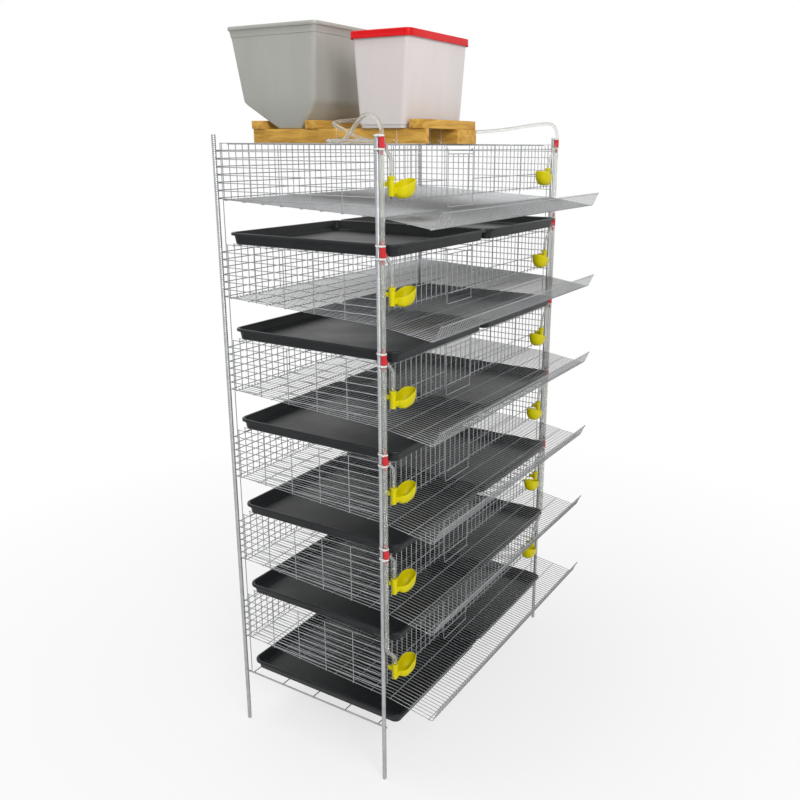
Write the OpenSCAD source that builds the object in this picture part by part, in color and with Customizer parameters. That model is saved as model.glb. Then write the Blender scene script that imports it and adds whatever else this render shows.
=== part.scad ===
// Six-tier quail cage: wire cages on four threaded posts, sliding droppings trays,
// piped drinker cups and two supply bins on a small wooden base.
// +Z is up, the egg shelves face -Y and the long side runs along X.

/* [Frame] */
// Distance between post centres along the front
cage_length = 1000; // [900:10:1100]
// Distance between front and back post centres
cage_depth = 510; // [480:5:540]
// Post rod diameter
post_d = 12; // [10:0.5:13]
// Post rod length
post_height = 1750; // [1745:5:1800]
// Height of the lowest tray rack
rack_level = 168; // [140:1:168]
// Distance from one tier to the next
tier_pitch = 260; // [254:1:260]

/* [Cages] */
// Cage height at its back wall
back_height = 142; // [138:1:150]
// Fall of the floor from the back wall to the front grille
floor_fall = 23; // [15:1:26]
// Reach of the egg shelf in front of the posts
shelf_reach = 150; // [120:5:180]
// Fall of the egg shelf from the grille to its lip
shelf_fall = 22; // [12:1:24]
// Height of the egg lip
lip_height = 42; // [34:1:50]
// Outward lean of the egg lip
lip_lean = 18; // [10:1:24]
// Radius of the bend at the foot of the lip
lip_bend_r = 10; // [8:1:14]
// Gap for the eggs between grille and floor
egg_gap = 29; // [26:1:34]
// Width of the grille door
door_width = 136; // [126:1:142]
// Distance of the door's left side from the left posts
door_offset = 332; // [330:1:334]

/* [Wires] */
// Diameter of the panel wires
mesh_wire_d = 2.4; // [2.2:0.1:2.6]
// Diameter of the floor wires
floor_wire_d = 2; // [1.8:0.1:2.4]
// Spacing of the floor wires
floor_pitch = 12.5; // [12:0.5:25]
// Spacing of the wires under the floor
floor_cross_pitch = 62; // [55:1:80]
// Spacing of the level wires in the side and back panels
row_pitch = 20; // [20:1:23]
// Spacing of the upright wires in the side panels
stay_pitch = 100; // [80:5:120]
// Spacing of the upright wires in the back panel
back_pitch = 25; // [20:1:50]
// Spacing of the grille bars
bar_pitch = 25; // [25:1:26]
// Spacing of the roof wires
roof_pitch = 25; // [20:1:50]
// Spacing of the wires under the roof
roof_cross_pitch = 100; // [80:5:160]
// Diameter of the rods at the ends of the tray rack
rack_rod_d = 5; // [4:0.5:6]
// Diameter of the wires across the tray rack
rack_wire_d = 3; // [2.5:0.5:4]
// Spacing of the wires across the tray rack
rack_pitch = 120; // [100:5:150]
// Clearance between welded wires
weld_gap = 0.05; // [0.03:0.01:0.1]

/* [Trays] */
// Height of a tray
tray_height = 30; // [24:1:36]
// Wall thickness of a tray
tray_wall = 2; // [1.5:0.5:3]
// Width of the rolled rim of a tray
tray_rim = 7; // [5:1:9]
// Inward slope of a tray wall
tray_draft = 6; // [3:1:9]
// Corner radius of a tray
tray_corner = 30; // [20:1:40]
// Distance of a tray's side from the post centres
tray_side_gap = 20; // [19:1:26]
// Distance of a tray's front from the front post centres
tray_front_reach = 35; // [20:1:45]
// Distance of a tray's back from the back post centres
tray_back_gap = 5; // [4:1:20]
// Gap between the two trays of a tier
tray_middle_gap = 6; // [4:1:12]
// Running clearance under a tray
tray_clear = 0.3; // [0.2:0.1:0.8]

/* [Water line] */
// Outer diameter of the riser hose
hose_d = 12; // [11:0.5:12.5]
// Diameter of the supply hoses
supply_d = 10; // [9:0.5:10]
// Wall thickness of the riser hose
hose_wall = 2; // [1.5:0.5:2.5]
// Outer diameter of the drop tubes
tube_d = 9; // [8:0.5:9.5]
// Wall thickness of the drop tubes
tube_wall = 1.5; // [1:0.5:2]
// Height of a Y connector between its hose shoulders
hub_height = 24; // [22:1:26]
// Length of a hose barb
barb_length = 16; // [12:1:18]
// Height of the Y connectors above a roof
hub_rise = 15; // [13:1:16]
// Height of the top Y connectors above the top roof
top_hub_rise = 4; // [3:1:5]
// Radius of the bend in a drop tube
drop_bend_r = 16; // [14:1:18]
// Width of a cable tie
tie_width = 3.6; // [2.5:0.1:4]
// Thickness of a cable tie
tie_thick = 1.2; // [0.8:0.1:1.4]

/* [Drinker cups] */
// Depth of a cup's inlet shoulder under the roof
cup_drop = 72; // [72:1:78]
// Distance of the left cups' inlets from the left posts
left_cup_inset = 37.5; // [32:0.5:43]
// Distance of the right cups' inlets from the right posts
right_cup_inset = 62.5; // [57:0.5:63]
// Width of the bowl
bowl_width = 44; // [40:1:48]
// Straight length between the bowl's round ends
bowl_straight = 24; // [18:1:30]
// Depth of the bowl under the cup's inlet shoulder
bowl_depth = 52; // [46:1:56]
// Wall thickness of the bowl
bowl_wall = 2.4; // [2:0.2:3]
// Height of the rim at the valve end, from the bowl's foot
bowl_low_rim = 26; // [22:1:30]
// Height of the rim at the far end, from the bowl's foot
bowl_high_rim = 46; // [40:1:50]
// Diameter of the valve body
valve_d = 15; // [13:0.5:16]
// Height of the valve body
valve_height = 46; // [40:1:50]

/* [Supply bins] */
// Thickness of the left base beam
beam_thick = 18; // [15:1:24]
// Thickness of the right base beam
right_beam_thick = 104; // [60:2:120]
// Height of a base beam
beam_height = 37; // [30:1:50]
// Length of the base
base_length = 566; // [560:1:600]
// Width of the base over its beams
base_width = 264; // [250:1:270]
// Distance of the base from the left posts
base_offset = 211; // [200:1:230]
// Width of a base slat
slat_width = 42; // [36:1:46]
// Thickness of a base slat
slat_thick = 22; // [18:1:26]
// Overhang of the slats past the left beam
slat_overhang = 6; // [0:1:12]
// Wall thickness of a bin
bin_wall = 2.5; // [2:0.5:4]
// Height of the water bin
water_bin_height = 230; // [210:1:250]
// Height of the feed bin
feed_bin_height = 267; // [240:1:290]
// Height of the feed bin's sloping hopper foot
hopper_height = 70; // [66:1:80]
// Height of the water bin's lid
lid_height = 19; // [16:1:26]

/* [Hidden] */
tier_count = 6;
fine = 48;
wire_fn = 24;

// Wire layers, counted inwards from the posts
row_x = cage_length / 2 - post_d / 2 - weld_gap - mesh_wire_d / 2;
stay_x = row_x - mesh_wire_d - weld_gap;
edge_x = stay_x - mesh_wire_d / 2 - weld_gap - floor_wire_d / 2;
back_row_y = cage_depth - post_d / 2 - weld_gap - mesh_wire_d / 2;
back_stay_y = back_row_y - mesh_wire_d - weld_gap;
back_end_y = back_stay_y - mesh_wire_d / 2 - weld_gap;
front_row_y = post_d / 2 + weld_gap + mesh_wire_d / 2;
bar_y = front_row_y - mesh_wire_d - weld_gap;
row_overlap = post_d / 4;
row_end = cage_length / 2 + row_overlap;
upright_inset = post_d;
cross_shift = mesh_wire_d + weld_gap;

// Heights
function roof(k) = rack_level + k * tier_pitch;
function shelf_base(k) = roof(k - 1) + mesh_wire_d / 2;
front_drop = back_height + floor_fall;
bar_drop = front_drop - egg_gap;
bar_top_drop = 4;
hinge_drop = 14;
middle_row_drop = 90;
low_row_drop = bar_drop - 6;

// Floor wire path from the back wall to the lip, in the YZ plane
floor_slope = atan(floor_fall / back_end_y);
shelf_slope = atan(shelf_fall / shelf_reach);
lip_slope = atan2(lip_height, lip_lean);
lip_bend = lip_slope + shelf_slope;
kink_gap = weld_gap + floor_wire_d / 2 * sin(shelf_slope - floor_slope);
lip_tangent = lip_bend_r * tan(lip_bend / 2);
floor_run = norm([back_end_y, floor_fall]) - weld_gap;
shelf_run = norm([shelf_reach, shelf_fall]) - lip_tangent;
lip_run = norm([lip_lean, lip_height]) - lip_tangent;
lip_edge_inset = 3;
splice = 0.3;
bend_draw = 0.04;
cross_drop = floor_wire_d + weld_gap;

// The origin lies under the middle of the overall depth
front_reach = shelf_reach + lip_lean - cos(lip_slope) * lip_edge_inset
    + sin(lip_slope) * cross_drop + floor_wire_d / 2;
feed_bin_back = 632;
bin_rim = 5;
front_post_y = (front_reach - feed_bin_back - bin_rim) / 2;

// Trays
tray_width = cage_length / 2 - tray_side_gap - tray_middle_gap / 2;
tray_depth = cage_depth - tray_back_gap + tray_front_reach;

// Grille door
door_left_x = -cage_length / 2 + door_offset;
door_right_x = door_left_x + door_width;
door_margin = 7;
door_bar_count = 4;
eye_clear = 0.3;
eye_r = mesh_wire_d + eye_clear;
eye_turn = 240;
door_y = front_row_y - eye_r;
door_floor_gap = 3;
door_drop = front_drop - floor_wire_d / 2 - door_floor_gap;

// Water line
hub_d = hose_d + 1.5;
hub_gap = 0.3;
riser_y = -post_d / 2 - hub_d / 2 - hub_gap;
bore_d = hose_d - 2 * hose_wall;
barb_clear = 0.2;
tie_gap = 1.2;
tie_offset = hub_height / 2 + tie_width / 2 + tie_gap;
tie_clear = 0.15;
function hub_level(k) = roof(k) + (k == tier_count ? top_hub_rise : hub_rise);
arm_rise = 2;
branch_length = 15;
branch_barb = 8;
function cup_inset(side) = side < 0 ? left_cup_inset : right_cup_inset;
function cup_level(k) = roof(k) - cup_drop;

// Supply base and bins
base_x = -cage_length / 2 + base_offset;
base_z = roof(tier_count) + mesh_wire_d / 2 + 0.1;
bin_z = base_z + beam_height;
slat_y = [3, 334, base_length - slat_width];
bin_lift = 0.1;
bin_x = base_x + base_width / 2;
water_foot = [base_width + 25, 138];
water_top = [base_width + 30, 174];
water_y = 125.5;
feed_foot = [base_width - 14, 92];
feed_knee = [base_width + 6, 253];
feed_top = [base_width + 24, 304];
feed_foot_y = 442;
feed_knee_y = 471.5;
feed_top_y = feed_bin_back - feed_top[1] / 2;
bin_corner = 14;
lid_clear = 0.6;
lid_dish = 4;
lid_band = 12;
outlet_spread = 90;
outlet_rise = 26;
outlet_d = 18;
outlet_face = 26;
outlet_clear = 0.3;
outlet_seat = 0.3;
outlet_spout = 22;
outlet_nut = 5;
outlet_tail = 8;
water_lean = atan((water_top[1] - water_foot[1]) / 2 / water_bin_height);
outlet_y = water_y + water_foot[1] / 2 + outlet_rise * tan(water_lean);

// Cup details
neck_gap = 3;
neck_width = 12;
neck_height = 14;
collar_height = 7;
inlet_barb = 7;
valve_bore_d = 7;
valve_hole_d = 3.4;
valve_seat = 8;
valve_cap = 4;
seat_clear = 0.1;
hook_wide = 4;
hook_height = 12;
hook_wall = 1.5;
hook_clear = 0.15;
tie_head = 5;
tie_brim = 0.4;
tail_bend_r = 30;
tail_angle = 45;
tail_foot = 8;
bowl_gap = 1.6;
bowl_forward = bowl_width / 2 + bowl_gap - (bar_y - mesh_wire_d / 2 - riser_y);

// Supply hose routes, from the outlets to the top Y connectors
hose_gap = 0.2;
tip_run = outlet_spout + hose_gap;
tip_y = outlet_y + tip_run * cos(water_lean);
tip_z = bin_z + bin_lift + outlet_rise - tip_run * sin(water_lean);
left_tip = [bin_x - outlet_spread, tip_y, tip_z];
right_tip = [bin_x + outlet_spread, tip_y, tip_z];
tip_step = 7 * [0, cos(water_lean), -sin(water_lean)];
hub_top = [cage_length / 2, riser_y, hub_level(tier_count) + hub_height / 2];
left_top = [-hub_top[0], hub_top[1], hub_top[2]];
lie = roof(tier_count) + mesh_wire_d / 2 + supply_d / 2 + 0.1;
left_route = [
    left_tip, left_tip + tip_step, left_tip + 2 * tip_step, left_tip + [-5, 34, -3],
    left_tip + [-20, 49, -5],
    left_tip + [-40, 54, -7], left_tip + [-60, 49, -11], left_tip + [-75, 34, -17],
    left_tip + [-80, 14, -24], left_tip + [-80, -6, -32], left_tip + [-80, -28, -42],
    left_tip + [-80, -51, -50], left_tip + [-80, -74, -55], [-327, 120, lie], [-331, 100, lie],
    [-342, 86, lie], [-358, 78, lie], [-376, 78, lie], [-392, 86, lie], [-403, 100, lie],
    [-407, 124, lie], [-411, 148, lie], [-422, 162, lie], [-438, 170, lie],
    [-456, 170, lie], [-472, 162, lie], [-483, 148, lie], [-487, 131, lie], [-488, 118, lie],
    left_top + [12, 116, -7], left_top + [11, 103, 2], left_top + [10, 86, 19],
    left_top + [8, 68, 36], left_top + [6, 55, 45], left_top + [5, 40, 48], left_top + [3, 20, 43],
    left_top + [1, 5, 28], left_top + [0, 0, 13], left_top + [0, 0, 6.5], left_top + [0, 0, hose_gap]
];
right_route = [
    right_tip, right_tip + tip_step, right_tip + 2 * tip_step, right_tip + [5, 34, -3],
    right_tip + [20, 49, -5],
    right_tip + [40, 54, -7], right_tip + [75, 52, -11], right_tip + [110, 41, -17],
    right_tip + [142, 22, -22], right_tip + [175, -4, -25], right_tip + [208, -34, -26],
    hub_top + [-325, 166, 20], hub_top + [-290, 136, 21], hub_top + [-250, 106, 24],
    hub_top + [-200, 78, 30], hub_top + [-150, 55, 37], hub_top + [-105, 39, 43],
    hub_top + [-65, 25, 47], hub_top + [-38, 14, 48], hub_top + [-19, 7, 43],
    hub_top + [-5, 2, 28], hub_top + [0, 0, 13], hub_top + [0, 0, 6.5], hub_top + [0, 0, hose_gap]
];

// Puts a shape drawn from the front post plane into the part's frame
module placed() {
    translate([0, front_post_y, 0]) children();
}

module mirrored() {
    children();
    mirror([1, 0, 0]) children();
}

// Straight wires along each axis, from a start point
module wire_x(from, to, y, z, d) {
    translate([from, y, z]) rotate([0, 90, 0]) cylinder(d = d, h = to - from, $fn = wire_fn);
}

module wire_y(x, from, to, z, d) {
    translate([x, from, z]) rotate([-90, 0, 0]) cylinder(d = d, h = to - from, $fn = wire_fn);
}

module wire_z(x, y, from, to, d) {
    translate([x, y, from]) cylinder(d = d, h = to - from, $fn = wire_fn);
}

// A run of wire towards -Y in the YZ plane, rising at the given angle
module wire_run(angle, length, d) {
    rotate([90 - angle, 0, 0]) cylinder(d = d, h = length, $fn = wire_fn);
}

// A bend that starts towards -Y at the given angle and turns up, or down with side = -1
module wire_bend(angle, r, turn, d, side) {
    rotate([90 - angle, 0, 0]) rotate([90, 0, -90 * side]) translate([-r, 0, 0])
        rotate_extrude(angle = turn, $fn = fine) translate([r, 0]) circle(d = d, $fn = wire_fn);
}

// Directions and points of the floor wire path, as [y, z] from the roof's back end
function heading(angle) = [-cos(angle), sin(angle)];
function normal(angle) = [sin(angle), cos(angle)];
lip_start = [0, -front_drop] + shelf_run * heading(-shelf_slope);
lip_rise_start = [-shelf_reach, -front_drop - shelf_fall] + lip_tangent * heading(lip_slope);
function floor_z(y) = -front_drop + floor_fall * y / back_end_y;

// Straight lengths of one floor wire, inside the cage and under the egg shelf
module floor_wire() {
    start = [0, -front_drop] + kink_gap * heading(-shelf_slope);
    translate([0, back_end_y, -back_height])
        wire_run(-floor_slope, floor_run, floor_wire_d);
    translate([0, start[0], start[1]])
        wire_run(-shelf_slope, shelf_run - kink_gap - weld_gap, floor_wire_d);
}

// The bend and the upright are spliced by a short overlap, with the wire drawn thinner in the bend
module lip_wire() {
    start = lip_rise_start - splice * heading(lip_slope);
    translate([0, lip_start[0], lip_start[1]])
        wire_bend(-shelf_slope, lip_bend_r, lip_bend, floor_wire_d - bend_draw, 1);
    translate([0, start[0], start[1]])
        wire_run(lip_slope, lip_run + splice, floor_wire_d);
}

// Centre of a wire laid under the floor path at a distance from the back wall
function under_floor(s) = s < floor_run
    ? [back_end_y, -back_height] + s * heading(-floor_slope) - cross_drop * normal(-floor_slope)
    : [0, -front_drop] + (s - floor_run) * heading(-shelf_slope) - cross_drop * normal(-shelf_slope);

// Sloping floor that runs out as the egg shelf and turns up into the lip
module egg_floor(k) {
    wires = floor(2 * edge_x / floor_pitch);
    step = 2 * edge_x / wires;
    length = floor_run + shelf_run - lip_bend_r;
    crosses = floor(length / floor_cross_pitch);
    cross_step = length / crosses;
    end_x = edge_x + floor_wire_d / 2;
    lip_top = [-shelf_reach - lip_lean, -front_drop - shelf_fall + lip_height];
    lip_edge = lip_top - lip_edge_inset * heading(lip_slope) - cross_drop * normal(lip_slope);
    color("gainsboro") placed() translate([0, 0, roof(k)]) {
        for (i = [0:wires]) {
            translate([-edge_x + i * step, 0, 0]) floor_wire();
            translate([-edge_x + i * step, 0, 0]) lip_wire();
        }
        for (i = [0:crosses]) {
            at = under_floor(lip_bend_r / 2 + i * cross_step);
            wire_x(-end_x, end_x, at[0], at[1], floor_wire_d);
        }
        wire_x(-end_x, end_x, lip_edge[0], lip_edge[1], floor_wire_d);
    }
}

// Two side panels and the back panel of one tier
module side_panels(k) {
    rows = floor(back_height / row_pitch);
    stay_span = cage_depth - 2 * upright_inset;
    stays = floor(stay_span / stay_pitch + 0.5);
    half = stay_x - 3 * mesh_wire_d;
    backs = floor(2 * half / back_pitch);
    back_step = 2 * half / backs;
    color("gainsboro") placed() translate([0, 0, roof(k)]) {
        mirrored() {
            for (i = [1:rows])
                wire_y(row_x, -row_overlap, cage_depth + row_overlap, -i * row_pitch, mesh_wire_d);
            for (i = [1:stays - 1]) {
                y = upright_inset + i * stay_span / stays;
                wire_z(stay_x, y, floor_z(y) - floor_wire_d / 2, mesh_wire_d / 2, mesh_wire_d);
            }
        }
        for (i = [1:rows]) {
            z = -i * row_pitch + cross_shift;
            wire_x(-row_end, row_end, back_row_y, z, mesh_wire_d);
        }
        for (i = [0:backs])
            wire_z(-half + i * back_step, back_stay_y, -back_height - floor_wire_d / 2,
                -weld_gap - mesh_wire_d / 2, mesh_wire_d);
    }
}

// Flat grid over one tier, which carries the trays of the tier above
module roof_grid(k) {
    wires = floor(2 * edge_x / roof_pitch);
    step = 2 * edge_x / wires;
    front_y = bar_y - mesh_wire_d;
    span = back_end_y - front_y - 4 * upright_inset;
    crosses = floor(span / roof_cross_pitch);
    color("gainsboro") placed() translate([0, 0, roof(k)]) {
        for (i = [0:wires])
            wire_y(-edge_x + i * step, front_y, back_end_y, 0, floor_wire_d);
        for (i = [0:crosses])
            wire_x(-edge_x, edge_x, front_y + 2 * upright_inset + i * span / crosses, -cross_drop,
                floor_wire_d);
    }
}

// Vertical bars with three level wires and an opening for the door
module front_grille(k) {
    half = bar_pitch * floor(edge_x / bar_pitch);
    bars = 2 * half / bar_pitch;
    opening_left = door_left_x - door_margin;
    opening_right = door_right_x + door_margin;
    end_x = cage_length / 2 + row_overlap;
    color("gainsboro") placed() translate([0, 0, roof(k)]) {
        for (i = [0:bars]) {
            x = -half + i * bar_pitch;
            if (x < opening_left - bar_pitch / 2 || x > opening_right + bar_pitch / 2)
                wire_z(x, bar_y, -bar_drop, -bar_top_drop, mesh_wire_d);
        }
        for (x = [opening_left, opening_right])
            wire_z(x, bar_y, -bar_drop, -bar_top_drop, mesh_wire_d);
        wire_x(-end_x, end_x, front_row_y, -hinge_drop, mesh_wire_d);
        for (z = [-middle_row_drop, -low_row_drop]) {
            wire_x(-end_x, opening_left + mesh_wire_d, front_row_y, z, mesh_wire_d);
            wire_x(opening_right - mesh_wire_d, end_x, front_row_y, z, mesh_wire_d);
        }
    }
}

// Door bent from wire, with two eyes that hang on the top wire of the grille
module door(k) {
    cross_y = door_y - mesh_wire_d - weld_gap;
    top_drop = hinge_drop + 10;
    bar_step = door_width / (door_bar_count + 1);
    color("white") placed() translate([0, 0, roof(k)]) {
        for (x = [door_left_x, door_right_x]) {
            wire_z(x, door_y, -door_drop, -hinge_drop, mesh_wire_d);
            translate([x, front_row_y, -hinge_drop]) rotate([90, 0, -90])
                rotate_extrude(angle = eye_turn, $fn = fine)
                    translate([eye_r, 0]) circle(d = mesh_wire_d, $fn = wire_fn);
        }
        for (i = [1:door_bar_count])
            wire_z(door_left_x + i * bar_step, door_y, -bar_drop, -top_drop, mesh_wire_d);
        for (z = [-top_drop, -low_row_drop, -door_drop + mesh_wire_d / 2])
            wire_x(door_left_x, door_right_x, cross_y, z, mesh_wire_d);
    }
}

// A flat rounded rectangle, centred
module rounded(size, r) {
    square([size[0] - 2 * r, size[1]], center = true);
    square([size[0], size[1] - 2 * r], center = true);
    for (x = [-1, 1], y = [-1, 1])
        translate([x * (size[0] / 2 - r), y * (size[1] / 2 - r)]) circle(r = r, $fn = fine);
}

// A thin rounded slice, for tapering walls
module slice(size, r, z) {
    translate([0, 0, z]) linear_extrude(0.01)
        hull() for (x = [-1, 1], y = [-1, 1])
            translate([x * (size[0] / 2 - r), y * (size[1] / 2 - r)]) circle(r = r, $fn = 32);
}

// Shallow tray with sloping walls and a rolled rim
module tray_shell() {
    body = [tray_width - 2 * tray_rim, tray_depth - 2 * tray_rim];
    foot = body - 2 * [tray_draft, tray_draft];
    hollow = body - 2 * [tray_wall, tray_wall];
    hollow_foot = foot - 2 * [tray_wall, tray_wall];
    difference() {
        union() {
            hull() {
                slice(foot, tray_corner - tray_rim - tray_draft / 2, 0);
                slice(body, tray_corner - tray_rim, tray_height - 0.01);
            }
            translate([0, 0, tray_height - tray_rim])
                linear_extrude(tray_rim) rounded([tray_width, tray_depth], tray_corner);
        }
        hull() {
            slice(hollow_foot, tray_corner - tray_rim - tray_draft / 2 - tray_wall, tray_wall);
            slice(hollow, tray_corner - tray_rim - tray_wall, tray_height);
        }
        difference() {
            translate([0, 0, tray_height - tray_rim - 1]) linear_extrude(tray_rim + 1 - tray_wall)
                rounded([tray_width - 2 * tray_wall, tray_depth - 2 * tray_wall], tray_corner - tray_wall);
            translate([0, 0, tray_height - tray_rim - 2]) linear_extrude(tray_rim + 4)
                rounded(body + [tray_wall, tray_wall] / 2, tray_corner - tray_rim + tray_wall / 4);
        }
    }
}

module tray(k, side) {
    x = side * (tray_middle_gap / 2 + tray_width / 2);
    y = -tray_front_reach + tray_depth / 2;
    color("#222527") placed() translate([x, y, shelf_base(k) + tray_clear]) tray_shell();
}

// Threaded posts, drawn at their outer diameter
module posts(y) {
    color("silver") placed() mirrored()
        wire_z(cage_length / 2, y, 0, post_height, post_d);
}

// Long wires beside the posts that tie the tiers together
module side_uprights() {
    low = rack_level + mesh_wire_d / 2 - rack_wire_d;
    color("gainsboro") placed() mirrored()
        for (y = [upright_inset, cage_depth - upright_inset])
            wire_z(stay_x, y, low, roof(tier_count) + mesh_wire_d / 2, mesh_wire_d);
}

// Open rack under the lowest trays
module tray_rack() {
    wire_z_level = rack_level + mesh_wire_d / 2 - rack_wire_d / 2;
    rod_z = wire_z_level - rack_wire_d / 2 - weld_gap - rack_rod_d / 2;
    rod_x = cage_length / 2 - post_d / 2 - weld_gap - rack_rod_d / 2;
    span = cage_depth - 4 * upright_inset;
    wires = floor(span / rack_pitch + 0.5);
    color("gainsboro") placed() {
        mirrored() wire_y(rod_x, -row_overlap, cage_depth + row_overlap, rod_z, rack_rod_d);
        for (i = [0:wires])
            wire_x(-rod_x - rack_rod_d / 2, rod_x + rack_rod_d / 2, 2 * upright_inset + i * span / wires,
                wire_z_level, rack_wire_d);
    }
}

// Places a shape at the riser hose of one side, with +X towards the middle of the cage
module at_riser(side) {
    placed() mirror([side > 0 ? 1 : 0, 0, 0]) translate([-cage_length / 2, riser_y, 0]) children();
}

module at_risers() {
    for (side = [-1, 1])
        at_riser(side) children();
}

module pipe(d, wall, h) {
    difference() {
        cylinder(d = d, h = h, $fn = fine);
        translate([0, 0, -1]) cylinder(d = d - 2 * wall, h = h + 2, $fn = fine);
    }
}

// A barbed stub that fits a hose bore
module barb(bore, length) {
    d = bore - 2 * barb_clear;
    rib = length / 4;
    cylinder(d = d - 1.2, h = length, $fn = fine);
    for (i = [1:3])
        translate([0, 0, i * rib]) cylinder(d1 = d, d2 = d - 1.2, h = rib * 0.8, $fn = fine);
}

// Turns a shape to leave the hub at 45 degrees, downwards
module branch() {
    translate([0, 0, arm_rise]) rotate([0, 135, 0]) children();
}

// The top connectors take the supply hose face to face on their upper shoulder
module y_connector(has_top) {
    translate([0, 0, -hub_height / 2]) cylinder(d = hub_d, h = hub_height, $fn = fine);
    if (has_top) translate([0, 0, hub_height / 2]) barb(bore_d, barb_length);
    translate([0, 0, -hub_height / 2]) rotate([180, 0, 0]) barb(bore_d, barb_length);
    branch() cylinder(d = tube_d + 1, h = branch_length, $fn = fine);
    branch() translate([0, 0, branch_length]) barb(tube_d - 2 * tube_wall, branch_barb);
}

module y_connectors() {
    color("crimson") at_risers()
        for (k = [2:tier_count]) translate([0, 0, hub_level(k)]) y_connector(k < tier_count);
}

// A round bend that starts on +X at the given radius and turns towards +Y
module round_bend(d, r, turn) {
    rotate_extrude(angle = turn, $fn = fine) translate([r, 0]) circle(d = d - bend_draw, $fn = fine);
}

// Path of a drop tube from the branch of a Y connector to the cup's inlet
module drop_path(k, reach, d, past) {
    foot = cup_level(k) - hub_level(k);
    bend_x = reach - drop_bend_r * (1 - cos(45));
    run = bend_x / sin(45);
    low_z = arm_rise - bend_x - drop_bend_r * sin(45);
    branch() translate([0, 0, branch_length - past])
        cylinder(d = d, h = run - branch_length + past + splice, $fn = fine);
    translate([reach - drop_bend_r, 0, low_z]) rotate([90, 0, 0])
        round_bend(d, drop_bend_r, 45);
    translate([reach, 0, foot - past])
        cylinder(d = d, h = low_z - foot + past + splice, $fn = fine);
}

module drop_tubes() {
    color("lightgrey", 0.6) for (side = [-1, 1], k = [2:tier_count])
        at_riser(side) translate([0, 0, hub_level(k)]) difference() {
            drop_path(k, cup_inset(side), tube_d, 0);
            drop_path(k, cup_inset(side), tube_d - 2 * tube_wall, 1);
        }
}

// End of the riser hose, which swings inwards onto the lowest cup
module tail_path(reach, d, past) {
    top = hub_level(2) - hub_height / 2;
    swing = tail_bend_r * (1 - cos(tail_angle));
    run = (reach - 2 * swing) / sin(tail_angle);
    low = cup_level(1);
    bend_low = low + tail_foot;
    bend_rise = tail_bend_r * sin(tail_angle);
    mid_high = bend_low + bend_rise + run * cos(tail_angle);
    high = mid_high + bend_rise;
    translate([0, 0, high - splice]) cylinder(d = d, h = top - high + past + splice, $fn = fine);
    translate([tail_bend_r, 0, high]) rotate([-90, 0, 180])
        round_bend(d, tail_bend_r, tail_angle);
    translate([swing, 0, mid_high]) rotate([0, 180 - tail_angle, 0])
        translate([0, 0, -splice]) cylinder(d = d, h = run + 2 * splice, $fn = fine);
    translate([reach - tail_bend_r, 0, bend_low]) rotate([90, 0, 0])
        round_bend(d, tail_bend_r, tail_angle);
    translate([reach, 0, low - past]) cylinder(d = d, h = tail_foot + past + splice, $fn = fine);
}

// Hose lengths between the Y connectors, and the last one down to the lowest cup
module riser_hoses() {
    color("lightgrey", 0.6) for (side = [-1, 1]) at_riser(side) {
        for (k = [3:tier_count]) {
            top = hub_level(k) - hub_height / 2;
            low = hub_level(k - 1) + hub_height / 2;
            translate([0, 0, low]) pipe(hose_d, hose_wall, top - low);
        }
        difference() {
            tail_path(cup_inset(side), hose_d, 0);
            tail_path(cup_inset(side), bore_d, 1);
        }
    }
}

// Places a shape at the inlet of each cup, with the bowl towards the middle of the cage
module at_cups(k) {
    for (side = [-1, 1])
        at_riser(side) translate([cup_inset(side), 0, cup_level(k)]) children();
}

// Half section of the bowl, from its foot to above its rim
module bowl_section(inset) {
    r = bowl_width / 2 - inset;
    high = bowl_high_rim + 2;
    polygon([[0, inset], [r * 0.56, inset], [r * 0.8, inset + r * 0.12], [r * 0.94, inset + r * 0.36],
        [r, inset + r * 0.72], [r, high], [0, high]]);
}

module bowl_form(inset) {
    for (x = [0, 1])
        translate([x * bowl_straight, 0, 0]) rotate([0, 0, x ? -90 : 90])
            rotate_extrude(angle = 180, $fn = fine) bowl_section(inset);
    rotate([90, 0, 90]) linear_extrude(bowl_straight) {
        bowl_section(inset);
        mirror([1, 0]) bowl_section(inset);
    }
}

// Long bowl whose rim climbs from the valve to the far end
module bowl() {
    reach = bowl_width + bowl_straight;
    tilt = atan((bowl_high_rim - bowl_low_rim) / reach);
    difference() {
        bowl_form(0);
        bowl_form(bowl_wall);
        translate([-bowl_width / 2, 0, bowl_low_rim]) rotate([0, -tilt, 0])
            translate([-reach, -reach, 0]) cube([3 * reach, 2 * reach, reach]);
    }
}

// Valve body with its inlet barb, the neck to the bowl and the hook over the grille wire
module cup(inlet_bore) {
    hook_z = cup_drop - middle_row_drop;
    hook_y = front_row_y - riser_y;
    hook_slot = mesh_wire_d + 2 * hook_clear;
    difference() {
        union() {
            translate([0, 0, -valve_height]) cylinder(d = valve_d, h = valve_height, $fn = fine);
            translate([0, 0, -collar_height]) cylinder(d = valve_d + 4, h = collar_height, $fn = 6);
            barb(inlet_bore, inlet_barb);
            translate([0, -neck_width / 2 - bowl_forward / 2, -bowl_depth + bowl_low_rim - neck_height])
                cube([valve_d / 2 + neck_gap + bowl_wall, neck_width, neck_height]);
            translate([-hook_wide / 2, 0, hook_z - hook_height / 2])
                cube([hook_wide, hook_y + hook_slot / 2 + hook_wall, hook_height]);
        }
        translate([0, 0, -valve_height - 1])
            cylinder(d = valve_hole_d, h = valve_height + inlet_barb + 2, $fn = fine);
        translate([0, 0, -valve_height + valve_seat])
            cylinder(d = valve_bore_d, h = valve_height - valve_seat - valve_cap, $fn = fine);
        translate([-hook_wide, hook_y - hook_slot / 2, hook_z - hook_height])
            cube([2 * hook_wide, hook_slot, hook_height + hook_slot / 2]);
    }
    translate([valve_d / 2 + neck_gap + bowl_width / 2, -bowl_forward, -bowl_depth]) bowl();
}

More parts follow.
